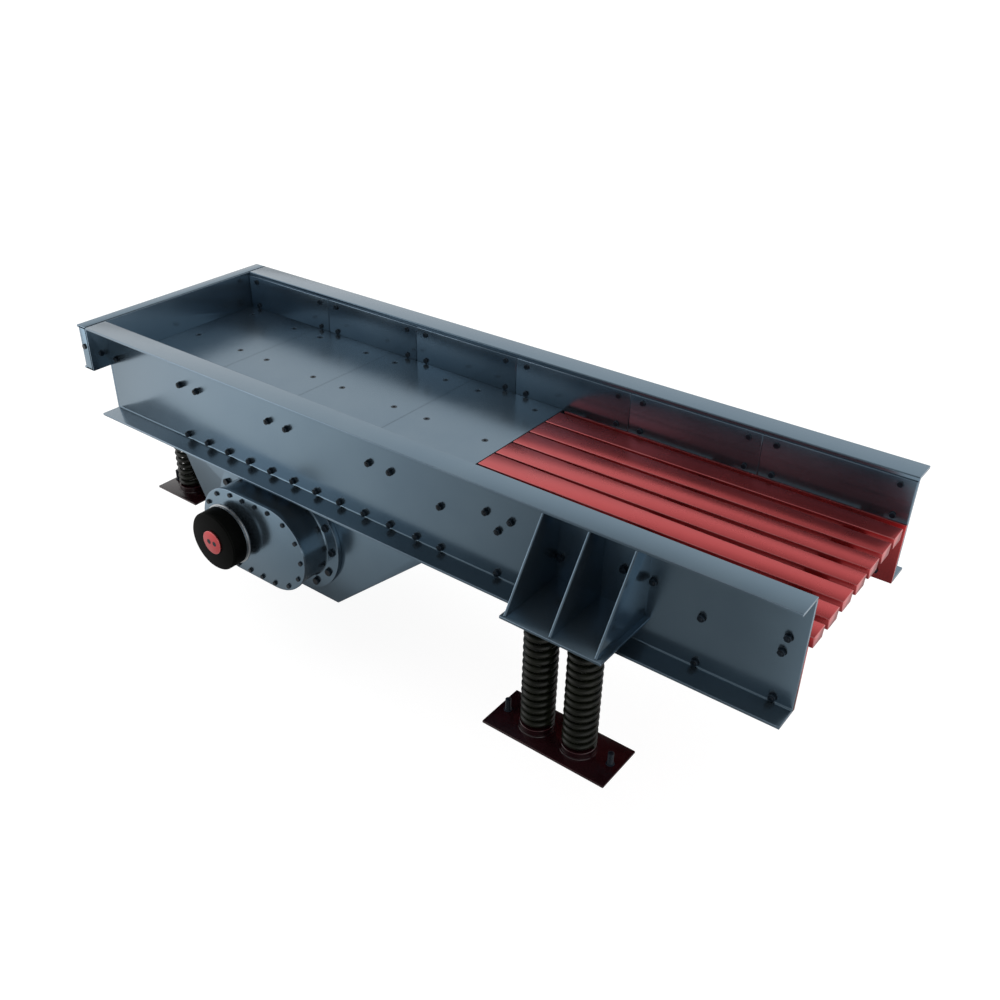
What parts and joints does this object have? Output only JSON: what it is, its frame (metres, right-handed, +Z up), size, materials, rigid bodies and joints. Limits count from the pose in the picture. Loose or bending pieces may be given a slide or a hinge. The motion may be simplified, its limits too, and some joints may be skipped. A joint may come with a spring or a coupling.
{
  "type": "linear vibratory feeder",
  "caption": "Spring-mounted vibrating trough with a plated pan, a tapered bar deck at the discharge, raked spring brackets and a round-ended twin-shaft exciter with a side pulley.",
  "frame": {"origin": "on the centre plane, under the feed-end face, in the plane of the base plates' undersides", "axes": "+X towards the discharge end, +Z up, the belt pulley on the -Y side"},
  "size_m": [3.876, 1.688, 1.067],
  "materials": {
    "grey_paint": "glossy blue-grey machine enamel",
    "liner_paint": "glossy blue-grey machine enamel on wear plate",
    "red_paint": "glossy signal-red enamel",
    "maroon_paint": "glossy near-black maroon enamel",
    "spring_steel": "dark oiled spring steel",
    "dark_fastener": "black oxide fastener",
    "bright_steel": "ground steel",
    "black_paint": "black-painted casting",
    "cast_weight": "plain casting"
  },
  "bodies": {
    "base": {"front_base_near": "maroon_paint", "front_base_far": "maroon_paint", "rear_base_near": "maroon_paint", "rear_base_far": "maroon_paint", "base_studs": "dark_fastener", "front_spring_1": "spring_steel", "front_spring_2": "spring_steel", "front_spring_3": "spring_steel", "front_spring_4": "spring_steel", "rear_spring_near": "spring_steel", "rear_spring_far": "spring_steel"},
    "trough": {"side_plate_near": "grey_paint", "side_plate_far": "grey_paint", "feed_end_plate": "grey_paint", "floor_plate": "grey_paint", "floor_stiffeners": "grey_paint", "rear_spring_beam": "grey_paint", "floor_liners": "liner_paint", "side_liners_near": "liner_paint", "side_liners_far": "liner_paint", "deck_side_near": "red_paint", "deck_side_far": "red_paint", "deck_cross_tubes": "red_paint", "deck_bar_1": "red_paint", "deck_bar_2": "red_paint", "deck_bar_3": "red_paint", "deck_bar_4": "red_paint", "deck_bar_5": "red_paint", "deck_bar_6": "red_paint", "deck_bar_7": "red_paint", "spring_bracket_near": "grey_paint", "spring_bracket_far": "grey_paint", "gusset_near": "grey_paint", "gusset_far": "grey_paint", "gusset_tie_tubes": "grey_paint", "exciter_casing": "grey_paint", "bearing_carrier_near": "grey_paint", "bearing_carrier_far": "grey_paint", "end_cover_near": "grey_paint", "end_cover_far": "grey_paint", "drive_bearings": "bright_steel", "idler_bearings": "bright_steel", "liner_bolts_near": "dark_fastener", "liner_bolts_far": "dark_fastener", "floor_bolts": "dark_fastener", "wall_bolts_near": "dark_fastener", "wall_bolts_far": "dark_fastener", "feed_end_bolts": "dark_fastener", "carrier_bolts": "dark_fastener", "cover_bolts": "dark_fastener"},
    "drive": {"drive_shaft": "bright_steel", "drive_gear": "bright_steel", "drive_weights": "cast_weight", "belt_pulley": "black_paint", "pulley_end_plate": "red_paint", "pulley_screws": "dark_fastener"},
    "idler": {"idler_shaft": "bright_steel", "idler_gear": "bright_steel", "idler_weights": "cast_weight"}
  },
  "joints": [
    {"name": "stroke", "type": "slide", "parent": "base", "child": "trough", "axis": [0.7071, 0, 0.7071], "range_m": [-0.008, 0.008], "stiffness_N_per_m": 750000, "springref_m": 0.03054, "deforming": ["front_spring_1", "front_spring_2", "front_spring_3", "front_spring_4", "rear_spring_near", "rear_spring_far"]},
    {"name": "drive_spin", "type": "hinge", "parent": "trough", "child": "drive", "pos_m": [1.073, 0, 0.158], "axis": [0, 1, 0], "continuous": true},
    {"name": "idler_spin", "type": "hinge", "parent": "trough", "child": "idler", "pos_m": [1.334, 0, 0.158], "axis": [0, 1, 0], "continuous": true}
  ],
  "couplings": [
    {"joint": "idler_spin", "follows": "drive_spin", "ratio": -1}
  ]
}
